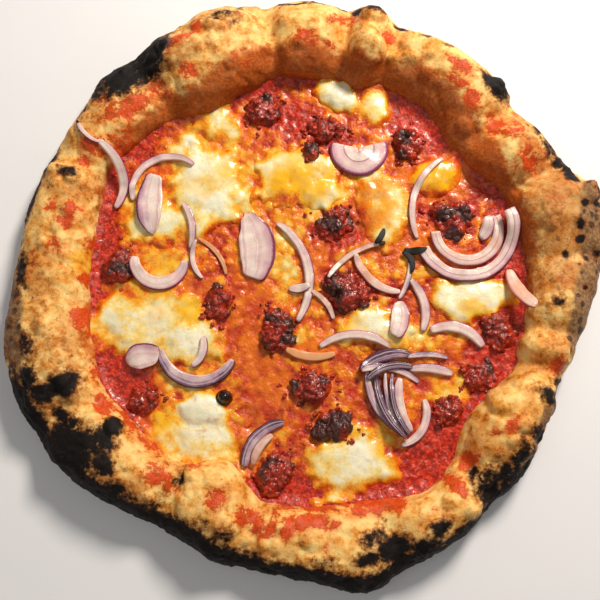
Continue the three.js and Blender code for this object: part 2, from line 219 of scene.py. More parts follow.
def finishPiece(bm, name, material, nodes=()):
    bmesh.ops.recalc_face_normals(bm, faces=bm.faces)
    lay(bm)
    bmesh.ops.scale(bm, vec=(0.001, 0.001, 0.001), verts=bm.verts)  # to metres
    mesh = bpy.data.meshes.new(name)
    bm.to_mesh(mesh)
    bm.free()
    mesh.materials.append(material)
    mesh.shade_smooth()
    piece = bpy.data.objects.new(name, mesh)
    bpy.context.scene.collection.objects.link(piece)
    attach(piece, "root")
    if nodes:
        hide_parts(*nodes)


def fuse(bm, voxel):  # joins what overlaps into one closed skin
    mesh = bpy.data.meshes.new("fusing")
    bm.to_mesh(mesh)
    bm.free()
    thing = bpy.data.objects.new("fusing", mesh)
    bpy.context.scene.collection.objects.link(thing)
    remesh = thing.modifiers.new("Remesh", "REMESH")
    remesh.mode = "VOXEL"
    remesh.voxel_size = voxel
    fused = bmesh.new()
    fused.from_object(thing, bpy.context.evaluated_depsgraph_get())
    bpy.data.objects.remove(thing)
    bpy.data.meshes.remove(mesh)
    return fused


# camera, floor and lights

view = dict(target=(-4.15, -10.05, 10), elevation=80, distance=440, lens=50, sensor=36)
lamps = dict(
    key=dict(at=(350, 580, 600), size=240, power=9.4, tint="#fff3e4"),
    fill=dict(at=(-300, -200, 900), size=900, power=1.1, tint="#fffaf2"),
)
room = dict(
    tint="#fffaf3",
    strength=0.19,
    lampsAimAt=(0, 0, 10),
    floorSize=3,  # metres
    floorTints=("#f2f4fa", "#f6f8fc"),
)


def aim(thing, place, target):
    place, target = Vector(place) / 1000, Vector(target) / 1000
    thing.location = place
    thing.rotation_euler = (target - place).to_track_quat("-Z", "Y").to_euler()


def makeCamera(scene):
    lens = bpy.data.cameras.new("photoView")
    lens.lens = view["lens"]
    lens.sensor_width = view["sensor"]
    lens.clip_start = 0.01  # metres
    camera = bpy.data.objects.new("photoView", lens)
    scene.collection.objects.link(camera)
    height = math.radians(view["elevation"])
    back = Vector((0, -math.cos(height), math.sin(height))) * view["distance"]
    aim(camera, Vector(view["target"]) + back, view["target"])
    scene.camera = camera


def makeLamps(scene):
    for name, lamp in lamps.items():
        light = bpy.data.lights.new(name, "AREA")
        light.shape = "DISK"
        light.size = lamp["size"] / 1000
        light.energy = lamp["power"]
        light.color = paint(lamp["tint"])[:3]
        holder = bpy.data.objects.new(name, light)
        scene.collection.objects.link(holder)
        aim(holder, lamp["at"], room["lampsAimAt"])
    scene.world = bpy.data.worlds.new("softRoom")
    scene.world.use_nodes = True
    sky = scene.world.node_tree.nodes["Background"].inputs
    sky["Color"].default_value = paint(room["tint"])
    sky["Strength"].default_value = room["strength"]
    scene.view_settings.view_transform = "Standard"


def makeFloor(scene):
    bm = bmesh.new()
    bmesh.ops.create_grid(bm, x_segments=1, y_segments=1, size=room["floorSize"])
    mesh = bpy.data.meshes.new("paleFloor")
    bm.to_mesh(mesh)
    bm.free()
    r = Recipe("paleFloor")
    tint = r.blend(r.noise(40), *room["floorTints"])
    mesh.materials.append(r.finish(Base_Color=tint, Roughness=0.9))
    floor = bpy.data.objects.new("paleFloor", mesh)
    scene.collection.objects.link(floor)


# the crust: one closed dough, from the middle of its underside round to the bed

crust = dict(
    columns=900,
    base=4,
    under=12,
    outside=30,
    inside=36,
    bed=6,
    outer=153,
    well=116,
    crest=0.52,
    height=21.5,
    waist=9,
    edge=10,
    steep=1,
    belly=0.8,
    floor=5,
    lumps=[(17, 1.1), (7, 0.7), (2.8, 0.28)],  # how wide and how high
    sootAndShade=0.6,  # roughness of the burnt parts and of the low outer side darkened as painted shade
    crease=1.1,
    roughFrom=92,
    roughWithin=15,
    dabSpread=1.5,
    domes=0.68,
    smallBlisters=230,
    smallest=1.4,
    largest=4.6,
    seed=4,
)
outlineSwells = table(Swell, [
    (12, 9.5, 11), (17, 3.5, 3), (38, -3.5, 9), (76, 5.5, 4.5), (88, 5, 13), (111, 10, 12),
    (117, -2.2, 3.5), (131, 6, 11), (136, 2, 4), (158, 2.2, 20), (190, 2, 7), (202, 9.5, 19),
    (215, 2, 7), (241, -6, 10), (263, -2.5, 10), (281, 7.5, 7.5), (310, -3.2, 8), (336, -11, 17),
])
wellSwells = table(Swell, [
    (43, -8, 9), (118, -5, 10), (147, 6, 14), (205, 3, 8), (246, -10, 9), (300, 8, 9), (318, -5, 9),
])
crestSwells = [Swell(5, -0.14, 18), Swell(55, 0.23, 17), Swell(170, -0.07, 22)]
steepSwells = [Swell(55, 0.6, 18)]
bellySwells = [Swell(35, 2.5, 14), Swell(92, 3.2, 20)]
puffs = table(Puff, [
    (113, 16, 9, 3), (90, 10, 6, 0), (76, 6, 7, 4), (56, 16, 6, 0), (33, 9, 6, 3), (15, 10, 6, 0),
    (355, 10, 3.5, 0), (343, 6, 4, 2), (325, 15, 8, 3), (299, 11, 4, 0), (272, 15, 2.5, 0),
    (248, 10, 5, 4), (224, 14, 4, 0), (197, 14, 4, 0), (170, 17, 1.5, 0), (140, 12, 2.5, 0),
])
pinches = table(Swell, [
    (98.7, 4.5, 3), (81, 4, 3), (71, 3.5, 3), (40, 4, 3.5), (25, 4, 3), (347, 3, 3), (339, 4, 3),
    (310, 4, 3.5), (287, 2, 4), (257, 3, 3), (238, 3.5, 3), (210, 3, 3), (152, 3, 3.5), (127.6, 3.5, 3),
])
blisters = table(Blister, [
    (205, 134, 9.5, 5.5, 5.5), (76, 149, 8, 5, 5), (17, 156, 6.5, 5.5, 5), (218, 124, 7, 5, 4),
    (252, 131, 8, 6, 4.5), (239, 116, 6, 4.5, 4), (156, 136, 6, 5, 4), (45, 147, 9, 5, 4),
    (311, 134, 9, 6, 4.5), (75.5, 130, 11, 10, 7), (327, 117, 9, 7, 5.5), (119, 140, 14, 9, 5),
])
charMarks = table(RimMark, [  # burnt black: half lengths along the rim and across it
    (4, 145, 2, 2, 0.9), (5, 134, 3, 2, 0.8), (5, 151, 2, 3, 0.9), (8, 143, 2, 3, 0.9),
    (11, 144, 3, 3, 0.9), (15, 158, 3, 3, 0.8), (15, 149, 2, 3, 0.9), (17, 161, 5, 5, 1),
    (22, 150, 6, 4, 1), (25, 149, 6, 4, 0.8), (29, 147, 6, 5, 0.8), (33, 146, 3, 3, 0.7),
    (46, 145, 10, 5, 1), (59, 148, 4, 2, 0.6), (64, 148, 5, 3, 0.5), (70, 150, 4, 2, 0.9),
    (76, 153, 7, 4, 1), (79, 152, 5, 3, 0.9), (83, 155, 4, 2, 0.9), (88, 156, 7, 2, 0.9),
    (92, 153, 7, 1, 0.8), (95, 156, 3, 2, 0.8), (104, 155, 3, 2, 0.7), (106, 144, 4, 2, 0.5),
    (108, 151, 9, 4, 0.6), (122, 151, 7, 8, 0.9), (126, 149, 12, 12, 1), (130, 150, 22, 12, 1),
    (134, 146, 8, 8, 1), (138, 153, 6, 5, 0.9), (155, 153, 9, 3, 0.9), (156, 139, 3, 6, 0.8),
    (164, 153, 12, 2, 0.8), (178, 150, 9, 4, 0.8), (183, 152, 5, 3, 0.5), (189, 156, 4, 5, 0.5),
    (194, 147, 7, 5, 0.7), (197, 159, 5, 4, 0.6), (200, 151, 7, 6, 0.9), (204, 147, 6, 8, 0.9),
    (204, 136, 6, 9, 1), (210, 144, 6, 4, 0.7), (213, 143, 8, 7, 0.9), (214, 150, 9, 8, 1),
    (217, 143, 10, 9, 1), (218, 125, 5, 5, 1), (218, 150, 14, 9, 1), (219, 134, 8, 8, 1),
    (223, 139, 7, 5, 0.9), (229, 144, 10, 5, 0.7), (233, 142, 8, 3, 0.5), (236, 140, 7, 4, 0.5),
    (237, 133, 3, 5, 0.4), (238, 121, 3, 4, 0.6), (241, 141, 7, 3, 0.4), (247, 135, 4, 4, 0.5),
    (252, 135, 5, 4, 0.5), (253, 142, 8, 3, 0.7), (258, 142, 8, 3, 0.6), (273, 142, 8, 3, 0.5),
    (282, 143, 9, 4, 0.8), (284, 135, 8, 5, 0.65), (287, 129, 3, 3, 0.4), (287, 142, 10, 6, 1),
    (293, 146, 9, 4, 0.9), (297, 141, 6, 4, 0.9), (302, 148, 9, 3, 0.8), (310, 131, 4, 4, 0.8),
    (310, 142, 8, 5, 1), (311, 137, 10, 7, 0.85), (314, 139, 7, 5, 0.8), (316, 132, 3, 3, 0.3),
    (319, 140, 9, 5, 0.8), (322, 133, 3, 3, 0.35), (325, 144, 4, 6, 1), (325, 139, 5, 5, 0.8),
    (333, 136, 5, 7, 0.8), (337, 140, 4, 5, 0.8), (354, 129, 3, 4, 0.6), (358, 143, 2, 2, 0.9),
])
smearMarks = table(RimMark, [  # dabs of sauce that got onto the rim
    (28, 132, 6, 4, 0.9), (28, 125, 4, 3, 0.7), (28, 140, 3, 4, 0.7), (36, 136, 5, 4, 0.8),
    (39, 131, 6, 5, 0.8), (48, 131, 5, 4, 0.9), (53, 133, 6, 2, 0.9), (54, 141, 7, 3, 0.9),
    (72, 140, 5, 3, 0.8), (82, 145, 8, 3, 0.7), (86, 128, 9, 2, 0.8), (91, 132, 5, 3, 0.8),
    (103, 129, 3, 3, 0.5), (106, 124, 4, 4, 0.7), (114, 149, 3, 2, 0.9), (118, 146, 7, 4, 1),
    (120, 128, 4, 4, 0.8), (121, 144, 3, 3, 0.8), (127, 127, 4, 4, 0.7), (128, 134, 4, 4, 0.9),
    (135, 133, 10, 5, 0.9), (138, 147, 4, 4, 0.9), (139, 137, 7, 4, 0.8), (144, 121, 8, 9, 0.8),
    (148, 135, 4, 5, 0.9), (152, 136, 4, 3, 0.8), (163, 129, 2, 4, 0.9), (164, 141, 4, 3, 0.8),
    (166, 131, 5, 4, 1), (170, 114, 5, 4, 0.8), (173, 132, 4, 4, 0.8), (177, 144, 12, 2, 0.5),
    (180, 117, 3, 3, 1), (190, 120, 5, 4, 1), (192, 114, 8, 4, 0.9), (203, 118, 8, 3, 0.8),
    (212, 123, 6, 4, 0.9), (219, 117, 9, 3, 0.8), (225, 116, 8, 3, 0.8), (233, 125, 5, 4, 1),
    (237, 127, 4, 2, 0.8), (239, 112, 3, 3, 0.8), (248, 121, 4, 4, 1), (256, 124, 5, 4, 1),
    (260, 129, 5, 3, 1), (262, 123, 2, 4, 0.8), (265, 128, 3, 3, 1), (267, 124, 5, 3, 1),
    (270, 116, 12, 2, 0.9), (271, 122, 6, 3, 1), (274, 135, 2, 2, 0.8), (275, 125, 5, 2, 0.9),
    (279, 115, 6, 2, 0.9), (286, 119, 10, 4, 1), (291, 122, 5, 3, 0.9), (298, 132, 2, 2, 0.8),
    (305, 128, 3, 5, 1), (311, 123, 5, 3, 0.9), (320, 122, 3, 2, 0.7), (323, 126, 4, 3, 0.8),
    (340, 135, 4, 3, 0.9),
])
yellowMarks = table(RimMark, [  # melted fat that ran onto the rim
    (61, 140, 6, 3, 0.5), (69, 131, 5, 5, 0.5), (176, 117, 9, 8, 1), (229, 120, 8, 7, 0.4),
    (319, 107, 6, 6, 0.6), (325, 119, 7, 6, 0.5), (348, 125, 7, 6, 0.4),
])
flourMarks = table(RimMark, [  # dusty, hardly browned outer side
    (352, 147, 34, 12, 1), (8, 152, 30, 10, 1), (330, 141, 24, 6, 0.9), (188, 154, 34, 8, 0.8),
    (205, 158, 16, 5, 0.4),
])
charAndShadeFlanks = table(Swell, [  # where the low outer side is darkened: partly real char, partly painted shade where it faces away from the light
    (225, 1, 28), (255, 1, 22), (288, 0.9, 22), (315, 0.7, 10), (130, 1.1, 12), (165, 0.35, 10),
    (206, 0.5, 8),
])
leopardFlanks = [Swell(355, 1, 32), Swell(190, 1.3, 14)]  # where it has small burnt spots
stainAndShadeSwells = table(Swell, [  # how far the inner wall is darkened red-brown: partly sauce stain, partly painted shade on walls that face away from the light; the row at 316 keeps that wall pale as painted light
    (98, 1.3, 34), (42, 1.2, 24), (135, 0.2, 14), (170, -0.4, 22), (250, -0.8, 45), (316, -1, 26),
    (340, -0.5, 14),
])
toastAndLightSwells = table(Swell, [  # baked darker or paler; the pale row at 318 is painted light on an inner wall the lamp leaves dim
    (14, 0.8, 16), (75, -0.9, 22), (165, -0.6, 26), (262, -0.7, 30), (318, -1.2, 22),
])


crustParts = ("base", "under", "outside", "inside", "bed")


def swell(rows, angle):
    return sum(row.by * math.exp(-((turnBetween(row.at, angle) / row.wide) ** 2)) for row in rows)


def rimAt(angle):  # the sizes of the rim's section at this angle
    pinch = swell(pinches, angle)
    lift = reach = 0
    for puff in puffs:
        share = turnBetween(puff.at, angle) / puff.half
        if abs(share) < 1:
            lift = max(lift, puff.lift * math.cos(share * math.pi / 2))
            reach = max(reach, puff.reach * math.cos(share * math.pi / 2))
    outer = crust["outer"] + swell(outlineSwells, angle) - 0.4 * pinch
    well = crust["well"] + swell(wellSwells, angle) - reach + 0.4 * pinch
    return dict(
        outer=outer,
        well=well,
        crest=lerp(well, outer, crust["crest"] + swell(crestSwells, angle)),
        height=crust["height"] + lift - pinch,
        steep=crust["steep"] + swell(steepSwells, angle),
        belly=crust["belly"] + swell(bellySwells, angle),
    )


def sectionPoint(part, share, rim):  # the dough's section, from the middle of the underside round
    inner = rim["outer"] - crust["edge"]
    if part == "base":
        return inner * share, 0
    if part == "under":
        turn = math.radians(90 * (share - 1))
        return inner + crust["edge"] * math.cos(turn), crust["waist"] * (1 + math.sin(turn))
    if part == "outside":
        turn = math.radians(90 * share)
        z = lerp(crust["waist"], rim["height"], math.sin(turn))
        return lerp(rim["crest"], rim["outer"], math.cos(turn)), z
    if part == "inside":
        turn = math.radians(90 * (1 - share))
        z = lerp(crust["floor"], rim["height"], math.sin(turn) ** rim["steep"])
        lean = rim["belly"] * math.sin(2 * turn)
        return lerp(rim["crest"], rim["well"], math.cos(turn)) - lean, z
    return rim["well"] * (1 - share), crust["floor"]


def partOfRow(row):
    for part in crustParts:
        if row <= crust[part]:
            return part, row / crust[part]
        row -= crust[part]
    return "bed", 1


def markRim(bm, tree, layer, marks, spread=1):  # 0.5 lies on each mark's outline
    for mark in marks:
        reach = 1.5 * spread * max(mark.along, mark.across)
        for place, index, _ in tree.find_range(around(mark.at, mark.out), reach):
            vert = bm.verts[index]
            vert[layer] = max(vert[layer], mark.amount * clamp(1.5 - markShare(mark, place, spread)))


def markShare(mark, place, spread=1):  # 1 on the outline of a mark or blister
    step = place - around(mark.at, mark.out)
    turn = math.radians(mark.at)
    out = step.x * math.cos(turn) + step.y * math.sin(turn)
    along = step.y * math.cos(turn) - step.x * math.sin(turn)
    return math.hypot(out / mark.across, along / mark.along) / spread


def crustTints(part, share, angle):  # how each point is coloured before the marks
    # the low outer side and underside are darkened: real char, and painted shade where the flank faces away
    # from the light
    flankCharAndShade = clamp(swell(charAndShadeFlanks, angle))
    # the inner wall's red-brown: sauce stain, and painted shade on walls that face away from the light
    soakAndShade = swell(stainAndShadeSwells, angle)
    low = {"base": 1, "under": 1, "outside": smooth(1.4 + 1.2 * flankCharAndShade - 3.2 * share)}.get(part, 0)
    side = {"base": 1, "under": 1, "outside": smooth(2.4 - 2.4 * share)}.get(part, 0)
    wallStainAndShade = smooth(1.5 * share - 0.35 + 0.3 * max(soakAndShade, 0))
    toastAndLight = {"outside": smooth(2 * share - 0.5), "inside": 1 - share}.get(part, 0)
    return dict(
        # so the char mark holds painted shade as well as real char
        char=flankCharAndShade * low,
        leopard=clamp(swell(leopardFlanks, angle) + 0.25) * side,
        flour=0.62 if part in ("base", "under") else 0.5 * low,
        # the row at 318 degrees lightens the wall as painted light
        toastAndLight=toastAndLight + swell(toastAndLightSwells, angle),
        stain={"inside": wallStainAndShade, "bed": 1}.get(part, 0) * (1 + soakAndShade),
    )


def crustNet(bm, layer, rims):
    columns = crust["columns"]
    rows = sum(crust[part] for part in crustParts)
    for vert in bm.verts:
        column, row = gridPlace(vert, columns, rows)
        angle = 360 * (column % columns) / columns
        part, share = partOfRow(row)
        radius, z = sectionPoint(part, share, rims[column % columns])
        vert.co = around(angle, radius, z)
        for name, value in crustTints(part, share, angle).items():
            vert[layer[name]] = value
    bmesh.ops.remove_doubles(bm, verts=bm.verts, dist=0.001)
    bmesh.ops.recalc_face_normals(bm, faces=bm.faces)
    bm.verts.ensure_lookup_table()
    print("crust net laid out", len(bm.verts))


def smallBlisters(rims):
    rng = random.Random(crust["seed"])
    for _ in range(crust["smallBlisters"]):
        angle = rng.uniform(0, 360)
        rim = rims[int(angle / 360 * crust["columns"])]
        size = rng.uniform(crust["smallest"], crust["largest"])
        out = lerp(rim["well"] + 4, rim["outer"] - 3, rng.uniform(0.15, 1))
        along = size * rng.uniform(0.9, 1.6)
        yield Blister(angle, out, along, size, size * rng.uniform(0.25, 0.6))


def crustRelief(bm, layer, flat, rims):  # lumps, creases and blisters, all along the normals
    bm.normal_update()
    normals = [vert.normal.copy() for vert in bm.verts]
    shift = [0.0] * len(bm.verts)
    for index, vert in enumerate(bm.verts):
        rough = smooth((vert.co.z - 1) / 5)
        rough *= smooth((vert.co.xy.length - crust["roughFrom"]) / crust["roughWithin"])
        if rough > 0:
            crease = (1 - abs(grain(vert.co, 21, 6))) ** 12
            shift[index] = rough * sum(size * grain(vert.co, wide, 1) for wide, size in crust["lumps"])
            shift[index] += rough * crust["sootAndShade"] * clamp(vert[layer["char"]]) * grain(vert.co, 1.8, 2)
            shift[index] -= rough * crust["crease"] * crease * smooth(0.5 + 2 * grain(vert.co, 30, 7))
    for dome in blisters + list(smallBlisters(rims)):
        for place, index, _ in flat.find_range(around(dome.at, dome.out), max(dome.along, dome.across)):
            share = markShare(dome, place)
            if share < 1 and normals[index].z > 0.1 and bm.verts[index].co.z > 6:
                bulge = math.sqrt(1 - share ** 2) * smooth(2.2 - 2 * share)
                shift[index] += crust["domes"] * dome.high * bulge
    for index, vert in enumerate(bm.verts):
        vert[layer["toastAndLight"]] += 0.16 * shift[index]
        vert.co += normals[index] * shift[index]
        vert.co.z = max(vert.co.z, 0)


def makeCrust():
    bm = bmesh.new()
    rows = sum(crust[part] for part in crustParts)
    bmesh.ops.create_grid(bm, x_segments=crust["columns"], y_segments=rows, size=1)
    layer = floatLayers(bm, "char", "smear", "yellow", "flour", "toastAndLight", "stain", "leopard")
    rims = [rimAt(360 * column / crust["columns"]) for column in range(crust["columns"])]
    crustNet(bm, layer, rims)
    flat = kdtree.KDTree(len(bm.verts))
    for index, vert in enumerate(bm.verts):
        flat.insert((vert.co.x, vert.co.y, 0), index)
    flat.balance()
    markRim(bm, flat, layer["char"], charMarks)
    markRim(bm, flat, layer["smear"], smearMarks, crust["dabSpread"])
    markRim(bm, flat, layer["yellow"], yellowMarks)
    markRim(bm, flat, layer["flour"], flourMarks)
    crustRelief(bm, layer, flat, rims)
    finishPiece(bm, "breadCrust", crustFinish(), ["crust"])
    print("crust done")


def crustFinish():
    r = Recipe("bakedDough")
    broad, mid, fine = r.noise(19, 4, 0.6), r.noise(6, 5, 0.65), r.noise(1.6, 4, 0.65)
    dough = r.blend(mid.between(0.36, 0.64), "#fdd98a", "#ee9f3e")
    dough = r.blend(broad.between(0.45, 0.66) * 0.65, dough, "#d27a24")
    # browner where toasted; lowered at 318 degrees as painted light
    toastAndLightMask = (r.mark("toastAndLight") * 0.45 + mid * 0.9 + fine * 0.5).between(0.95, 1.4)
    dough = r.blend(toastAndLightMask * 0.6, dough, "#a85c22")
    specks = (r.noise(2.6, 3, 0.65) + broad * 0.6 + r.mark("toastAndLight") * 0.06).between(0.93, 1.04)
    dough = r.blend(specks * 0.5, dough, "#7a441c")
    # red-brown on the inner wall: sauce stain, and painted shade where the wall faces away from the light
    stainAndShadeMask = (r.mark("stain") + (mid - 0.5) * 1.5 + (broad - 0.5) * 1.2).between(0.2, 0.95)
    dough = r.blend(stainAndShadeMask * 0.88, dough, r.blend(fine.between(0.35, 0.65), "#983406", "#c05a14"))
    dusty = (r.mark("flour") + mid * 0.5).between(0.6, 0.95)
    dust = r.blend(fine.between(0.35, 0.65), "#755133", "#a57e54")
    dough = r.blend(dusty, dough, dust)
    leopard = (r.mark("leopard") * 0.3 - r.cells(6.5) + r.noise(3, 2) * 0.35).between(0.1, 0.22)
    dough = r.blend(leopard * 0.85, dough, "#35241a")
    fat = (r.mark("yellow") + (mid - 0.5) * 0.9).between(0.3, 0.9)
    dough = r.blend(fat * 0.8, dough, r.blend(mid.between(0.4, 0.6), "#f6bf26", "#ee951a"))
    halo = (r.mark("smear") + (mid - 0.5) * 1.6 + (fine - 0.5) * 0.9).between(0.2, 0.75)
    dough = r.blend(halo * 0.55, dough, "#ee7c2c")
    dab = (r.mark("smear") + (mid - 0.5) * 2 + (fine - 0.5) * 1.4).between(0.68, 0.8)
    dough = r.blend(dab * 0.9, dough, r.blend(fine.between(0.35, 0.65), "#c02c0a", "#e8501e"))
    flecks = r.noise(3, 4, 0.7)
    # charred marks; on the low outer side this is also painted shade
    heatAndShade = r.mark("char") + (broad - 0.5) * 0.5 + (mid - 0.5) * 1.3 + (flecks - 0.5) * 0.9
    dough = r.blend(heatAndShade.between(0.05, 0.42) * 0.65, dough, "#9a5820")
    dough = r.blend(heatAndShade.between(0.34, 0.6) * 0.85, dough, "#452110")
    # near-black for burnt dough, also used as painted shade on the low outer side
    sootAndShade = r.blend(flecks.between(0.42, 0.6), "#070505", "#170d0a")
    # lighter patches in the soot: partly ash, partly painted sheen of reflected light
    sootAndShade = r.blend(r.noise(5, 3).between(0.6, 0.76), sootAndShade, "#1b1718")
    black = heatAndShade.between(0.5, 0.78)
    dough = r.blend(black, dough, sootAndShade)
    gloss = 0.5 - 0.22 * dab + 0.12 * fine + black * 0.1
    relief = r.bump(mid * 0.45 + fine * 0.4 + r.noise(0.7, 2) * 0.3 + dab * 0.3, 0.8, 0.9)
    return r.finish(Base_Color=dough, Roughness=gloss, Normal=relief, Specular_IOR_Level=0.24)


# the sauce, with the thin cheese and the oil that ran into it

sauce = dict(
    columns=560,
    rings=96,
    low=5.3,
    top=6.5,
    climb=2.2,  # up the crust's wall
    climbWidth=7,
    reach=1.5,
    sway=0.4,
    swayWidth=11,
    film=0.36,  # the level of melted cheese, and what raises and lowers it
    rough=[(9, 0.38), (4, 0.26)],
    filmMore=0.4,
    curdMore=0.34,
    pulpLess=0.9,
    rimLess=0.4,
    rimFrom=102,
    rimWidth=12,
    filmHigh=0.7,
    curds=4.6,
    curdHigh=1.1,
    pulp=3.2,
    pulpHigh=1.2,
)
bedMarks = ("melt", "oil", "yolk", "burnt")
filmSpots = table(Spot, [  # thin cheese that ran into the sauce
    (-17, 18, 18, 27, 1), (10, 45, 22, 15, 1), (-32, 55, 10, 24, 0.9), (-45, -20, 16, 17, 0.4),
    (0, -35, 20, 10, 0.8), (42, 18, 26, 14, 0.8), (76, 57, 15, 14, 0.6), (80, -28, 20, 7, 0.8),
    (73, -57, 9, 7, 1), (25, 60, 14, 12, 0.9), (-78, 8, 20, 12, 0.9), (50, -30, 22, 10, 0.9),
    (-62, -50, 20, 10, 0.8), (28, 103, 22, 8, 0.8), (-15, 75, 12, 9, 0.7), (-20, -80, 8, 9, 0.6),
    (-92, 46, 12, 20, 1.3), (-70, 76, 14, 12, 1.3), (42, -84, 8, 16, 0.9),
])
oilSpots = table(Spot, [  # orange fat from the sausage
    (-22, -50, 15, 26, 1), (-4, 53, 22, 12, 0.85), (70, 58, 20, 14, 1.5), (5, 12, 12, 16, 0.8),
    (2, -38, 20, 9, 0.8), (-30, 78, 8, 16, 0.8), (82, 12, 16, 7, 0.9), (80, -32, 14, 8, 0.6),
    (-60, 0, 14, 10, 0.8), (-32, -10, 14, 24, 1), (36, 44, 14, 18, 1), (-42, -30, 10, 12, 0.8),
    (60, 22, 16, 12, 1), (42, 16, 14, 10, 0.8), (56, -8, 14, 8, 0.6), (-24, -28, 16, 14, 1),
])
pulpSpots = table(Spot, [  # bright, coarse tomato
    (62, -100, 24, 14, 1), (78, -82, 14, 14, 1), (30, -112, 34, 6, 1), (63, 84, 14, 14, 1),
    (70, 40, 9, 12, 1), (-108, 16, 6, 28, 0.8), (-92, -56, 12, 12, 1), (-102, -40, 5, 14, 0.7),
    (98, -40, 12, 24, 0.8), (104, 0, 10, 14, 0.7), (-70, -96, 18, 4, 0.6), (-12, -112, 26, 8, 1),
    (20, 30, 14, 12, 0.7), (-48, -18, 8, 12, 0.5), (-10, 90, 16, 12, 0.6), (10, 70, 14, 12, 0.7),
    (88, 60, 6, 20, 0.5),
])


def spotValue(spots, x, y):
    value = 0
    for spot in spots:
        share = math.hypot((x - spot.x) / spot.a, (y - spot.y) / spot.b)
        value = max(value, spot.amount * clamp(1.5 - share))
    return value


def bedAt(x, y):  # what covers this place: 0 red pulp, 0.5 stained film, 1 white cheese
    place = (x, y, 0)
    dome = curd(place, sauce["curds"], 1)
    level = sauce["film"] + sum(size * grain(place, wide, 20 + wide) for wide, size in sauce["rough"])
    level += sauce["filmMore"] * spotValue(filmSpots, x, y) + sauce["curdMore"] * (dome - 0.55)
    red = sauce["pulpLess"] * spotValue(pulpSpots, x, y)
    red += sauce["rimLess"] * smooth((math.hypot(x, y) - sauce["rimFrom"]) / sauce["rimWidth"])
    return level - red, dome


def makeSauce():
    columns, rings = sauce["columns"], sauce["rings"]
    bm = bmesh.new()
    bmesh.ops.create_grid(bm, x_segments=columns, y_segments=rings, size=1)
    layer = floatLayers(bm, *bedMarks)
    for vert in bm.verts:
        column, ring = gridPlace(vert, columns, rings)
        angle = 360 * (column % columns) / columns
        edge = rimAt(angle)["well"] + sauce["reach"] if ring else 0
        if ring == rings:
            vert.co = around(angle, edge + 0.5, sauce["low"])
            continue
        radius = edge * ring / (rings - 1)
        vert.co = around(angle, radius, sauce["top"])
        x, y = vert.co.xy
        level, dome = bedAt(x, y)
        cover = smooth(2.2 * level)
        vert.co.z += sauce["climb"] * smooth(1 - (edge - radius) / sauce["climbWidth"])
        relief = sauce["sway"] * grain((x, y, 0), sauce["swayWidth"], 5) + sauce["filmHigh"] * cover
        vert.co.z += relief + sauce["curdHigh"] * dome * cover
        vert.co.z += sauce["pulpHigh"] * (1 - cover) * curd((x, y, 0), sauce["pulp"], 2)
        vert[layer["melt"]] = level
        vert[layer["oil"]] = spotValue(oilSpots, x, y)
        vert[layer["yolk"]] = spotValue(yolkSpots, x, y)
    closeNet(bm, 0.001)
    finishPiece(bm, "tomatoSauce", bedFinish("tomatoSauce", 0.05), ["sauce"])
    print("sauce done")


def bedFinish(name, glow):  # pulp, oil and melted cheese run into each other
    r = Recipe(name)
    broad, mid, fine = r.noise(9, 3), r.noise(3, 4, 0.6), r.noise(1.5, 3, 0.6)
    oil = (r.mark("oil") + (broad - 0.5) * 0.8).between(0.2, 0.9)
    melt = r.mark("melt") + (mid - 0.5) * 0.6 + (fine - 0.5) * 0.25 - oil * 0.3
    pulp = r.blend(mid.between(0.4, 0.6), "#961504", "#cc2c09")
    # small bright orange-red specks on the pulp: painted highlights
    pulp = r.blend(fine.between(0.5, 0.68) * 0.8, pulp, "#ee4e20")
    colour = r.blend(melt.between(0.05, 0.32), pulp, r.blend(broad.between(0.35, 0.65), "#c23c04", "#e4640a"))
    colour = r.blend(melt.between(0.28, 0.52), colour, "#ee820e")
    colour = r.blend(melt.between(0.45, 0.74), colour, "#f7b12c")
    colour = r.blend(melt.between(0.7, 0.98), colour, "#fade86")
    colour = r.blend(melt.between(0.92, 1.25), colour, "#fffade")
    colour = r.blend(oil * oil * 0.8, colour, r.blend(broad.between(0.35, 0.6), "#d04604", "#f07c08"))
    yolk = (r.mark("yolk") + (mid - 0.5) * 0.9 + (broad - 0.5) * 0.8).between(0.3, 1.1)
    colour = r.blend(yolk * melt.between(0.4, 0.7) * 0.8, colour, "#fcc214")
    pale = r.noise(12, 3).between(0.54, 0.7) * melt.between(0.85, 1.15)
    colour = r.blend(pale * 0.6, colour, "#ecefc8")
    tan = r.noise(7, 4, 0.6).between(0.6, 0.74) * melt.between(0.5, 0.8)
    colour = r.blend(tan * 0.5, colour, "#d08626")
    black = (r.mark("burnt") + (fine - 0.5) * 0.3).between(0.45, 0.62)
    colour = r.blend(black, colour, "#141216")
    grit = 1 - 0.6 * melt.between(0.6, 1.1)
    relief = r.bump((mid * 0.5 + fine * 0.5) * grit, 0.8, 0.85)
    r.shader.subsurface_method = "RANDOM_WALK"
    return r.finish(
        Base_Color=colour,
        Roughness=0.28 + fine * 0.18 - melt.between(0.1, 0.6) * 0.16,
        Normal=relief,
        Specular_IOR_Level=0.4,
        Subsurface_Weight=glow,
        Subsurface_Scale=wetGlow,
        Coat_Weight=0.22,
        Coat_Roughness=0.08,
    )


# the pools of melted cheese

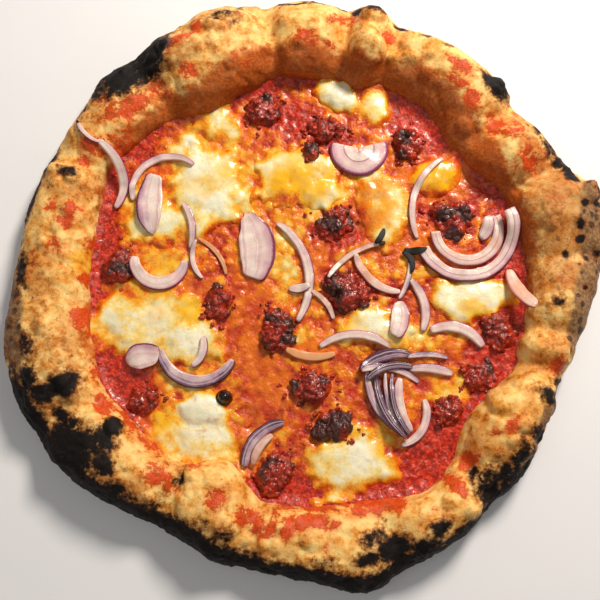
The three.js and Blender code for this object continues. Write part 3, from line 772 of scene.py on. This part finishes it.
cheese = dict(
    step=1.0,
    margin=1.5,
    ragged=[(15, 0.42, 11), (5, 0.26, 12)],  # how wide, how much and the seed
    dive=-1.4,
    low=5.4,
    level=7.3,
    climb=2,
    relief=[(9, 0.9, 13), (3.4, 0.28, 14)],
    curds=5.5,
    curdHigh=0.6,
    white=1.15,
    oil=0.8,
)
cheesePools = [
    [
        Lobe(-55.7, 53.6, 23, 28, 0, 3.4),
        Lobe(-79.6, 34, 18.5, 13.5, 0, 2.6),
        Lobe(-49.3, 88, 13.5, 11, 0, 2.4),
    ],
    [Lobe(14.7, 105, 15, 8.6, -25, 3.6), Lobe(37.3, 101, 9.5, 12, 0, 2.6)],
    [Lobe(-83.2, -22, 30, 20, 0, 2.8), Lobe(-64, -30, 18, 15, 0, 3.2)],
    [
        Lobe(-57.3, -79, 26, 18, -12, 2.6),
        Lobe(-55.9, -68.1, 14.3, 10.8, 20, 5),
        Lobe(-43.4, -61.1, 4.4, 4.2, 0, 6.5),
    ],
    [Lobe(21.5, -94, 26.5, 19, 0, 3.2)],
    [Lobe(84.9, -8.7, 24, 12.5, 8, 3.2)],
    [Lobe(33.8, -23.2, 21.5, 11, -10, 2.8)],
    [Lobe(-4.2, 60, 24, 17, 0, 3.4), Lobe(6, 50, 13, 9, 0, 3.8)],
    [Lobe(41.8, 42.4, 17, 23, 0, 3), Lobe(68, 58, 17, 11, 10, 3)],
]
yolkSpots = table(Spot, [  # deeper yellow
    (-57, 52, 10, 8, 0.8), (-44, 62, 8, 7, 0.8), (-73, 6, 11, 8, 0.8), (-4, 58, 20, 12, 1.3),
    (-62, -15, 9, 8, 1), (-80, -18, 7, 7, 0.7), (-75, -72, 7, 8, 1), (20, -80, 8, 5, 0.8),
    (70, 60, 18, 13, 1), (86, -14, 10, 6, 0.9), (38, -88, 6, 5, 0.8), (40, 45, 11, 12, 0.7),
    (3, 50, 10, 7, 1), (-35, 80, 9, 9, 0.6), (-10, 45, 14, 8, 0.8), (22, -24, 9, 7, 0.8),
])
blackSpots = [Spot(-43.4, -61.1, 4.6, 4.6, 1)]  # one small lump is burnt


def lobeHeight(lobe, x, y):
    turn = math.radians(lobe.turn)
    across, up = x - lobe.x, y - lobe.y
    u = (across * math.cos(turn) + up * math.sin(turn)) / lobe.a
    v = (up * math.cos(turn) - across * math.sin(turn)) / lobe.b
    share = math.hypot(u, v)
    if lobe.a > 6:  # small lumps stay round
        share *= 1 + sum(much * grain((x, y, 0), wide, seed) for wide, much, seed in cheese["ragged"])
    return lobe.thick * (1 - share ** 2.4)


def cheeseGrid(lobes):  # a flat grid that covers the pool
    sizes = [cheese["margin"] * max(lobe.a, lobe.b) for lobe in lobes]
    low = Vector([min(lobe[k] - size for lobe, size in zip(lobes, sizes)) for k in (0, 1)])
    high = Vector([max(lobe[k] + size for lobe, size in zip(lobes, sizes)) for k in (0, 1)])
    steps = [round(s / cheese["step"]) for s in high - low]
    bm = bmesh.new()
    bmesh.ops.create_grid(bm, x_segments=steps[0], y_segments=steps[1], size=0.5)
    bmesh.ops.scale(bm, vec=(*(high - low), 1), verts=bm.verts)
    bmesh.ops.translate(bm, vec=((low + high) / 2).to_3d(), verts=bm.verts)
    return bm


def meltCheese(bm, lobes):
    layer = floatLayers(bm, *bedMarks)
    for vert in bm.verts:
        x, y = vert.co.xy
        place = (x, y, 0)
        depth = max(lobeHeight(lobe, x, y) for lobe in lobes)
        if depth < cheese["dive"]:
            vert.co.z = -1  # outside the pool
            continue
        level, _ = bedAt(x, y)
        full = smooth(depth / 3 + 0.3 * grain(place, 6, 16))
        vert[layer["melt"]] = lerp(max(level, 0.35), cheese["white"], full) + 0.22 * grain(place, 11, 15)
        vert[layer["oil"]] = cheese["oil"] * spotValue(oilSpots, x, y)
        vert[layer["yolk"]] = spotValue(yolkSpots, x, y)
        vert[layer["burnt"]] = spotValue(blackSpots, x, y)
        relief = sum(high * grain(place, wide, seed) for wide, high, seed in cheese["relief"])
        relief += cheese["curdHigh"] * curd(place, cheese["curds"], 3) * (1 - 0.35 * full)
        ground = min(groundAt(x, y), cheese["level"] + cheese["climb"])
        vert.co.z = lerp(ground, cheese["level"], 0.85 * smooth(depth / 2)) + depth + relief


def makeCheese():
    finish = bedFinish("meltedCheese", 0.15)
    for number, lobes in enumerate(cheesePools, 1):
        bm = cheeseGrid(lobes)
        meltCheese(bm, lobes)
        gone = [face for face in bm.faces if all(v.co.z < 0 for v in face.verts)]
        bmesh.ops.delete(bm, geom=gone, context="FACES")
        for vert in bm.verts:
            vert.co.z = max(vert.co.z, cheese["low"] + 0.2)
        for part in bmesh.ops.extrude_face_region(bm, geom=bm.faces[:])["geom"]:
            if isinstance(part, bmesh.types.BMVert):
                part.co.z = cheese["low"]
        finishPiece(bm, f"meltedCheese_{number:02}", finish, [f"cheese_{number:02}"])
    print("cheese done")


# the crumbled sausage: each lump is crumbs fused into one skin

sausage = dict(
    parts=6,
    crumbs=210,  # in a lump of middle size
    middle=120,
    smallest=0.7,
    largest=2.1,
    uneven=0.22,
    voxel=0.5,
    grit=0.3,
    char=0.45,
    seed=21,
)
clumps = [
    Clump(-25, 96.8, 10.6, 12.4, 5.5, 0.3), Clump(10.1, 85.5, 13.2, 7.6, 4.4, 0.2),
    Clump(1.8, 71.5, 5.3, 6, 4.4, 0.9), Clump(54.7, 77.2, 9, 10.8, 5.2, 0.6),
    Clump(13, 32.2, 12.2, 10.3, 5.8, 0.5), Clump(77.4, 35.5, 13, 11.5, 5.5, 0.6),
    Clump(20.7, -4.3, 12.7, 13.2, 6.2, 0.4), Clump(-47.3, -11.3, 8.5, 13, 5.2, 0.2),
    Clump(-16.2, -25.1, 10.6, 15, 5.8, 0.4), Clump(-101.5, 8.6, 8.5, 14, 5, 0.3),
    Clump(-85.7, -62.6, 9, 9.7, 5, 0.3), Clump(2, -56.5, 14.5, 9.6, 5.8, 0.4),
    Clump(13.5, -76, 13.2, 9, 5.4, 0.4), Clump(-16.9, -99, 11.4, 14, 5.8, 0.3),
    Clump(101, -26.2, 11.2, 11.5, 5.2, 0.1), Clump(90.5, -51, 12, 10, 5, 0.2),
    Clump(73.5, -68, 11.2, 7.8, 4.4, 0.1),
]


def crumb(bm, place, size, rng):
    stretch = [size * rng.uniform(0.75, 1.25) for _ in range(3)]
    angle = rng.uniform(0, 6.3)  # radians
    axis = Vector([rng.uniform(-1, 1) for _ in range(3)]).normalized()
    matrix = Matrix.Translation(place) @ Matrix.Rotation(angle, 4, axis) @ Matrix.Diagonal((*stretch, 1))
    made = bmesh.ops.create_icosphere(bm, subdivisions=1, radius=1, matrix=matrix)["verts"]
    for vert in made:
        vert.co += (vert.co - matrix.translation) * rng.uniform(-sausage["uneven"], sausage["uneven"])


def lumpParts(one, ground, rng):  # the middle, half width and height of what a lump is piled from
    parts = []
    for part in range(sausage["parts"]):
        angle = 360 * part / sausage["parts"] + rng.uniform(-25, 25)
        spot = around(angle, rng.uniform(0.34, 0.56))
        size = rng.uniform(0.3, 0.5) * min(one.a, one.b)
        high = one.high * rng.uniform(0.45, 0.95)
        parts.append((Vector((one.x + spot.x * one.a, one.y + spot.y * one.b, ground)), size, high))
    parts.append((Vector((one.x, one.y, ground)), 0.5 * min(one.a, one.b), one.high * 0.9))
    return parts


def pileLump(bm, one, parts, number, rng):
    for centre, size, high in parts:
        core = Matrix.Translation(centre) @ Matrix.Diagonal((size, size, high, 1))
        for vert in bmesh.ops.create_icosphere(bm, subdivisions=3, radius=1, matrix=core)["verts"]:
            vert.co += (vert.co - centre) * 0.35 * grain(vert.co, 5, number)
    for _ in range(int(sausage["crumbs"] * one.a * one.b / sausage["middle"])):
        centre, size, high = rng.choice(parts)
        lift = rng.uniform(0, 1) ** 0.8
        away = math.sqrt(1 - lift * lift) * rng.uniform(0.85, 1.45 - 0.35 * lift)
        spot = centre + around(rng.uniform(0, 360), away * size, lift * high * rng.uniform(0.85, 1.02))
        wide = lerp(sausage["smallest"], sausage["largest"], rng.random() ** 1.8)
        crumb(bm, spot, wide, rng)


def makeSausage():
    finish = sausageFinish()
    rng = random.Random(sausage["seed"])
    for number, one in enumerate(clumps, 1):
        ground = groundAt(one.x, one.y)
        bm = bmesh.new()
        pileLump(bm, one, lumpParts(one, ground, rng), number, rng)
        bm = fuse(bm, sausage["voxel"])
        layer = floatLayers(bm, "burnt", "high")
        bm.normal_update()
        top = max(v.co.z for v in bm.verts)
        for vert in bm.verts:
            rough = grain(vert.co, 1.3, 31) + 0.6 * grain(vert.co, 0.6, 32)
            vert.co += vert.normal * sausage["grit"] * rough
            charred = clamp(0.3 + 2 * grain(vert.co, 8, number + 40))
            vert[layer["high"]] = clamp((vert.co.z - ground) / (top - ground))
            vert[layer["burnt"]] = (one.burnt + sausage["char"]) * charred
        finishPiece(bm, f"sausageCrumble_{number:02}", finish, [f"nduja_{number:02}"])
    print("sausage done")
    return finish


def sausageFinish():
    r = Recipe("spicySausage")
    broad, mid, fine = r.noise(7, 3), r.noise(2.4, 4, 0.6), r.noise(0.8, 3, 0.6)
    colour = r.blend(mid.between(0.35, 0.62), "#560c09", "#a02413")
    colour = r.blend(fine.between(0.52, 0.7) * 0.8, colour, "#d24a26")
    hot = (1.3 - 0.9 * r.mark("high") - r.mark("burnt") + (broad - 0.5) * 1.4).between(0.4, 1.1)
    colour = r.blend(hot * 0.6, colour, r.blend(mid.between(0.4, 0.6), "#a81f07", "#dc4214"))
    dark = (r.mark("burnt") + (mid - 0.5) * 0.8 + (fine - 0.5) * 0.3).between(0.42, 0.66)
    colour = r.blend(dark * 0.85, colour, r.blend(fine.between(0.4, 0.6), "#120809", "#38211e"))
    relief = r.bump(fine * 0.6 + mid * 0.4, 0.8, 0.9)
    return r.finish(
        Base_Color=colour, Roughness=0.24 + 0.2 * dark, Normal=relief, Coat_Weight=0.35, Coat_Roughness=0.12
    )


# crumbs that fell off the lumps

loose = dict(crumbs=130, nearest=0.95, furthest=1.3, within=106, smallest=0.7, largest=1.7, grains=3, seed=77)


def makeCrumbs(finish):
    rng = random.Random(loose["seed"])
    bm = bmesh.new()
    for _ in range(loose["crumbs"]):
        one = rng.choice(clumps)
        spot = around(rng.uniform(0, 360), lerp(loose["nearest"], loose["furthest"], rng.random() ** 2))
        x, y = one.x + spot.x * one.a, one.y + spot.y * one.b
        if math.hypot(x, y) < loose["within"]:
            size = rng.uniform(loose["smallest"], loose["largest"])
            ground = Vector((x, y, groundAt(x, y)))
            for _ in range(loose["grains"]):
                nudge = Vector([rng.uniform(-0.8, 0.8) * size for _ in range(3)]) * Vector((1, 1, 0.3))
                crumb(bm, ground + nudge, size * rng.uniform(0.6, 1), rng)
    layer = floatLayers(bm, "burnt", "high")
    for vert in bm.verts:
        vert[layer["burnt"]] = clamp(0.4 * grain(vert.co, 10, 3))
        vert[layer["high"]] = 0.5
    finishPiece(bm, "sausageCrumbs", finish)
    print("crumbs done")


# the onion: each slice is an arc with a squarish section, draped on what lies under it

onion = dict(
    step=0.9,
    sides=30,
    slope=0.55,
    tip=0.3,
    blunt=0.36,
    square=5,
    uneven=0.12,
    groove=0.3,
    groovedFrom=4.5,  # only slices at least this wide
    crown=1.2,
    crownedFrom=9,
    sway=0.3,
    burntEnd=0.2,  # share of the length
)
slices = [
    Slice(-122, 53.9, 22.6, -36, 62, 5.4, 2.2, 0.25),
    Slice(-75.2, 49.5, 19.9, 48, 193, 4.1, 2.2, 0.55),
    Slice(-24, 42.2, 61.3, 164, 196, 14, 2.4, 0.7, point=1.2),
    Slice(-88, 26.6, 26.5, -18, 38, 4, 2, 0.5),
    Slice(-45.7, 14.3, 16, 150, 230, 2.7, 1.8, 0.4),
    Slice(-78.7, 12.1, 13.3, 175, 355, 7.5, 2.4, 0.1),
    Slice(-65.5, 15.2, 38.8, -20, 36, 20, 2.4, 0.4, point=1.4),
    Slice(-37.1, 0.2, 38.1, -34, 57, 5.3, 2.4, 0.5),
    Slice(28, 74.2, 8.2, 168, 374, 15.3, 2.6, 0.1, ring=True),
    Slice(91.1, 37.6, 35.1, 120, 203, 3.8, 2.2, 0.2, stain=0.4),
    Slice(84.6, 27.8, 24.9, 203, 385, 6.7, 2.8, 0.4, ring=True),
    Slice(85.4, 28.6, 17.2, 185, 385, 6.2, 2.4, 0.1, ring=True, stain=0.5),
    Slice(85, 32.5, 11.8, -48, 15, 7, 2.2, 0.2),
    Slice(44.1, -17, 38.2, 94, 151, 3.1, 2, 0.6, burnt="start", stain=0.6),
    Slice(20.2, 10.5, 34.4, -35, 3, 2.8, 2, 1, burnt="end"),
    Slice(49.7, 19, 24.5, 190, 268, 4.8, 2.2, 0.3, stain=0.6),
    Slice(38.1, -16.9, 24.2, -23, 47, 5, 2, 0.5),
    Slice(23, -16.5, 25.8, -30, 14, 10.5, 2.2, 0.05, stain=0.3, point=0.7),
    Slice(73.9, -44.1, 20.2, 28, 118, 6.3, 2.2, 0.05, stain=0.2),
    Slice(24.3, -57.8, 29.4, 52, 128, 4.7, 2, 0.05),
    Slice(65.9, -48.7, 35.2, 178, 242, 4.1, 3, 0.9),
    Slice(84.2, -53.3, 44.2, 174, 220, 2.6, 3.4, 1),
    Slice(76.3, -59.9, 29.7, 163, 219, 5.7, 3.2, 0.5),
    Slice(44.2, -68.7, 17.3, -77, 22, 4.6, 2.4, 0.3),
    Slice(46.9, -63.8, 25.5, 75, 139, 6.1, 2.8, 1.3),
    Slice(59.7, -87.5, 41.6, 68, 99, 5.1, 2.4, 0.7),
    Slice(-57.4, -33, 20.1, 190, 335, 6.8, 2.6, 1.1),
    Slice(-81.7, -62.6, 23.3, 80, 124, 13.4, 2.4, 0.5, point=0.8),
    Slice(-66.9, -33.9, 12.6, -60, 20, 4.7, 2.2, 0.5),
    Slice(-9.2, -97, 23.4, 98, 178, 6.1, 2.6, 1.2),
    Slice(133.4, 5.7, 25.9, 178, 232, 7.4, 2.2, 0.1, stain=0.7),
    Slice(3.8, -9.9, 30.2, 240, 290, 4.8, 2, 0, stain=1.4),
]
threads = [  # thin ends and slivers
    Slice(-104, 91.5, 20, 200, 251, 2.4, 1.4, 0.6, burnt="start"),
    Slice(-6.3, 10.5, 14.4, 255, 300, 4.8, 1.6, 0.4),
    Slice(-6.8, -23.9, 20.8, 11, 65, 3.2, 1.2, 0.3, stain=0.6),
    Slice(-68.1, 0.6, 24.8, 8, 68, 2.4, 1.4, 0.1, stain=1.2),
    Slice(62.1, -73.9, 35.2, 72, 107, 3.2, 1.8, 1.1),
    Slice(38.2, -73.4, 28.1, 46, 112, 4, 1.4, 0.9),
    Slice(-9.3, -97.1, 18.9, 118, 175, 4.6, 1.2, 0.5, stain=0.6),
    Slice(28, 31, 13, -52, -8, 3.2, 1.6, 1, burnt="all", point=0.9),
    Slice(57, 31, 14.5, 248, 298, 3.8, 1.6, 1, burnt="all", point=1.3),
    Slice(48, 8.5, 7.8, -30, 72, 2.8, 1.4, 0.9, burnt="all"),
    Slice(75, -51, 39.5, 176, 231, 4, 1.8, 1.6),
    Slice(80, -56.5, 36.8, 168, 220, 3, 2, 1.6),
    Slice(47.5, -67, 22.5, 72, 138, 4.6, 1.4, 1.6),
]


def drape(one, steps):  # how high the slice lies along its length, with no steep steps
    heights = []
    for step in range(steps + 1):
        angle = lerp(one.start, one.end, step / steps)
        spots = [around(angle, one.radius + side * one.width) for side in (-0.45, -0.2, 0, 0.2, 0.45)]
        heights.append(max(groundAt(one.x + s.x, one.y + s.y) for s in spots))
    fall = onion["slope"] * one.radius * math.radians(one.end - one.start) / steps
    for step in range(1, steps + 1):
        heights[step] = max(heights[step], heights[step - 1] - fall)
    for step in range(steps - 1, -1, -1):
        heights[step] = max(heights[step], heights[step + 1] - fall)
    for _ in range(6):
        ends = [heights[0]] + heights + [heights[-1]]
        heights = [(ends[k] + 2 * ends[k + 1] + ends[k + 2]) / 4 for k in range(len(heights))]
    return heights


def onionTaper(one, along):  # 1 where the slice is full, less towards its ends
    bend = lerp(onion["blunt"], one.point, along)
    full = clamp(math.sin(math.pi * clamp(along, 0.002, 0.998))) ** bend
    if one.ring:
        return min(1, 6 * full)
    return lerp(onion["tip"], 1, full) * min(1, 7 * full)


def onionNet(bm, one, number, steps):
    layer = floatLayers(bm, "across", "skin", "burnt", "stain", "ring")
    heights = drape(one, steps)
    for vert in bm.verts:
        step, side = gridPlace(vert, steps, onion["sides"])
        along = step / steps
        taper = onionTaper(one, along)
        turn = 2 * math.pi * (side % onion["sides"]) / onion["sides"]
        bend = 2 / onion["square"]
        over, up = [math.copysign(abs(s) ** bend, s) for s in (math.cos(turn), math.sin(turn))]
        uneven = onion["uneven"] * grain((step * onion["step"], 0, 0), 7, number)
        wide = one.width * taper * (1 + uneven)
        thick = one.thick * lerp(0.45, 1, taper) * min(1, 4 * taper)
        spot = around(lerp(one.start, one.end, along), one.radius + over * wide / 2)
        z = heights[step] + thick / 2 * (1 + up)
        if up > 0 and one.width > onion["groovedFrom"]:
            z -= onion["groove"] * abs(math.cos(math.pi * over)) ** 8
        if up > 0 and one.width > onion["crownedFrom"] and not one.ring:
            z += onion["crown"] * taper * (over * over - 0.4)
        vert.co = Vector((one.x + spot.x, one.y + spot.y, z))
        vert.co.z += onion["sway"] * grain(vert.co, 5, number)
        near = {"start": along, "end": 1 - along, "all": 0}.get(one.burnt, 1)
        vert[layer["across"]] = (over + 1) / 2
        vert[layer["skin"]] = one.skin
        vert[layer["stain"]] = one.stain
        vert[layer["ring"]] = one.ring
        vert[layer["burnt"]] = clamp(1 - near / onion["burntEnd"])


def makeOnions():
    finish = onionFinish()
    named = [(f"redOnion_{k:02}", one, [f"onion_{k:02}"]) for k, one in enumerate(slices, 1)]
    named += [(f"onionSliver_{k:02}", one, []) for k, one in enumerate(threads, 1)]
    for number, (name, one, nodes) in enumerate(named, 1):
        steps = round(one.radius * math.radians(one.end - one.start) / onion["step"])
        bm = bmesh.new()
        bmesh.ops.create_grid(bm, x_segments=steps, y_segments=onion["sides"], size=1)
        onionNet(bm, one, number, steps)
        closeNet(bm, 0.02)
        finishPiece(bm, name, finish, nodes)
    print("onions done")


def onionFinish():
    r = Recipe("redOnion")
    across, skin = r.mark("across"), r.mark("skin")
    broad, mid, fine = r.noise(9, 3), r.noise(3, 3), r.noise(0.9, 3)
    flesh = r.blend(mid.between(0.35, 0.65), "#efd9cd", "#f6eadf")
    flesh = r.blend(broad.between(0.35, 0.7) * 0.55, flesh, "#d9b0b6")
    flesh = r.blend(across.between(0.45, 1.0) * 0.55, flesh, "#d698ae")
    fibre = {"W": across * 7 + broad * 1.2, "Scale": 1, "Detail": 2}
    fibres = r.node("ShaderNodeTexNoise", {"noise_dimensions": "1D"}, fibre)
    flesh = r.blend(fibres.between(0.48, 0.66) * 0.45, flesh, "#bd7f9a")
    tone = (skin * 0.8 + across * 0.5 + (broad - 0.5) * 0.9).between(0.7, 1.3)
    flesh = r.blend(tone * 0.8, flesh, "#8c5c88")
    tone = (skin * 0.8 + across * 0.35 + (broad - 0.5) * 0.6 + (mid - 0.5) * 0.5).between(1.0, 1.35)
    flesh = r.blend(tone * 0.85, flesh, "#421a38")
    flesh = r.blend((1 - fibres.between(0.38, 0.5)) * skin * 0.45, flesh, "#e6d6de")
    middle = across - 0.5
    line = (1 - (middle * middle).between(0.0003, 0.0014)) * r.mark("ring")
    flesh = r.blend(line * 0.7, flesh, "#a05a7d")
    rind = (across + (fine - 0.5) * 0.06).between(0.88, 0.95)
    flesh = r.blend(rind * 0.95, flesh, r.blend(skin, "#93386a", "#3c102b"))
    amber = (r.mark("stain") + (broad - 0.5) * 1.2).between(0.2, 1.3)
    flesh = r.blend(amber * 0.8, flesh, "#e39a4c")
    black = (r.mark("burnt") + (mid - 0.5) * 0.5).between(0.4, 0.6)
    flesh = r.blend(black, flesh, "#0e0b0a")
    relief = r.bump(mid * 0.4 + fine * 0.3 + fibres * 0.6, 0.4, 0.6)
    r.shader.subsurface_method = "RANDOM_WALK"
    return r.finish(
        Base_Color=flesh,
        Roughness=0.2 + 0.4 * black,
        Normal=relief,
        Subsurface_Weight=0.25,
        Subsurface_Scale=wetGlow,
    )


makeCamera(bpy.context.scene)
makeLamps(bpy.context.scene)
makeFloor(bpy.context.scene)
print("studio ready")
makeCrust()
makeSauce()
makeCheese()
makeCrumbs(makeSausage())
makeOnions()
